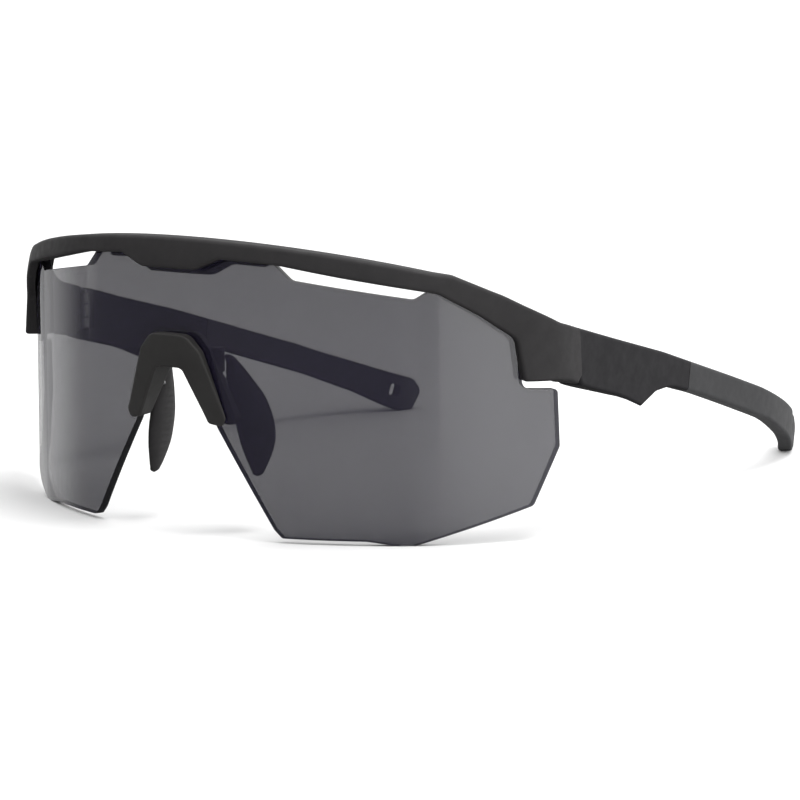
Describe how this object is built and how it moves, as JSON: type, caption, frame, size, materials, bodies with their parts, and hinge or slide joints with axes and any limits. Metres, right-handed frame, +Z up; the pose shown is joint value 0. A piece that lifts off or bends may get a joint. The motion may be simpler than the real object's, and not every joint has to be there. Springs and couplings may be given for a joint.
{
  "type": "wraparound sport sunglasses",
  "caption": "Half-rim wraparound sport sunglasses with a one-piece tinted shield lens, folding temples with rubber sleeves, and bendable nose pads on wire arms.",
  "frame": {"origin": "bottom centre of the glasses' box: midway between the temples, midway from brow to tips, on the plane that the lens's lower edge and the temple tips stand on", "axes": "+Z up, +Y from the lens back along the temples, +X towards the wearer's left; the front looks along -Y"},
  "size_m": [0.1404, 0.1732, 0.0621],
  "materials": {
    "frame_plastic": "fine moulded matte, near black",
    "temple_plastic": "fine moulded matte, near black",
    "clip_plastic": "moulded satin, near black",
    "lens_tint": "polished neutral grey tint",
    "sleeve_rubber": "soft matte rubber, dark grey",
    "pad_rubber": "soft matte rubber, black",
    "hinge_steel": "stamped, satin",
    "screw_steel": "turned, bright",
    "wire_steel": "drawn wire, satin"
  },
  "bodies": {
    "front": {"brow_frame": "frame_plastic", "lens_shield": "lens_tint", "nose_clip": "clip_plastic", "frame_leaf_left": "hinge_steel", "frame_leaf_right": "hinge_steel", "hinge_screw_left": "screw_steel", "hinge_screw_right": "screw_steel"},
    "temple_left": {"temple_arm_left": "temple_plastic", "temple_sleeve_left": "sleeve_rubber", "temple_leaf_left": "hinge_steel"},
    "temple_right": {"temple_arm_right": "temple_plastic", "temple_sleeve_right": "sleeve_rubber", "temple_leaf_right": "hinge_steel"},
    "pad_left": {"nose_pad_left": "pad_rubber", "pad_wire_left": "wire_steel"},
    "pad_right": {"nose_pad_right": "pad_rubber", "pad_wire_right": "wire_steel"}
  },
  "joints": [
    {"name": "temple_left_fold", "type": "hinge", "parent": "front", "child": "temple_left", "pos_m": [0.0652, -0.0348, 0.0373], "axis": [0, 0, 1], "range_deg": [0, 90]},
    {"name": "temple_right_fold", "type": "hinge", "parent": "front", "child": "temple_right", "pos_m": [-0.0652, -0.0348, 0.0373], "axis": [0, 0, -1], "range_deg": [0, 82]},
    {"name": "pad_left_turn", "type": "hinge", "parent": "front", "child": "pad_left", "pos_m": [0.0076, -0.0792, 0.0358], "axis": [0, 0, 1], "range_deg": [-8, 8]},
    {"name": "pad_right_turn", "type": "hinge", "parent": "front", "child": "pad_right", "pos_m": [-0.0076, -0.0792, 0.0358], "axis": [0, 0, -1], "range_deg": [-8, 8]}
  ]
}
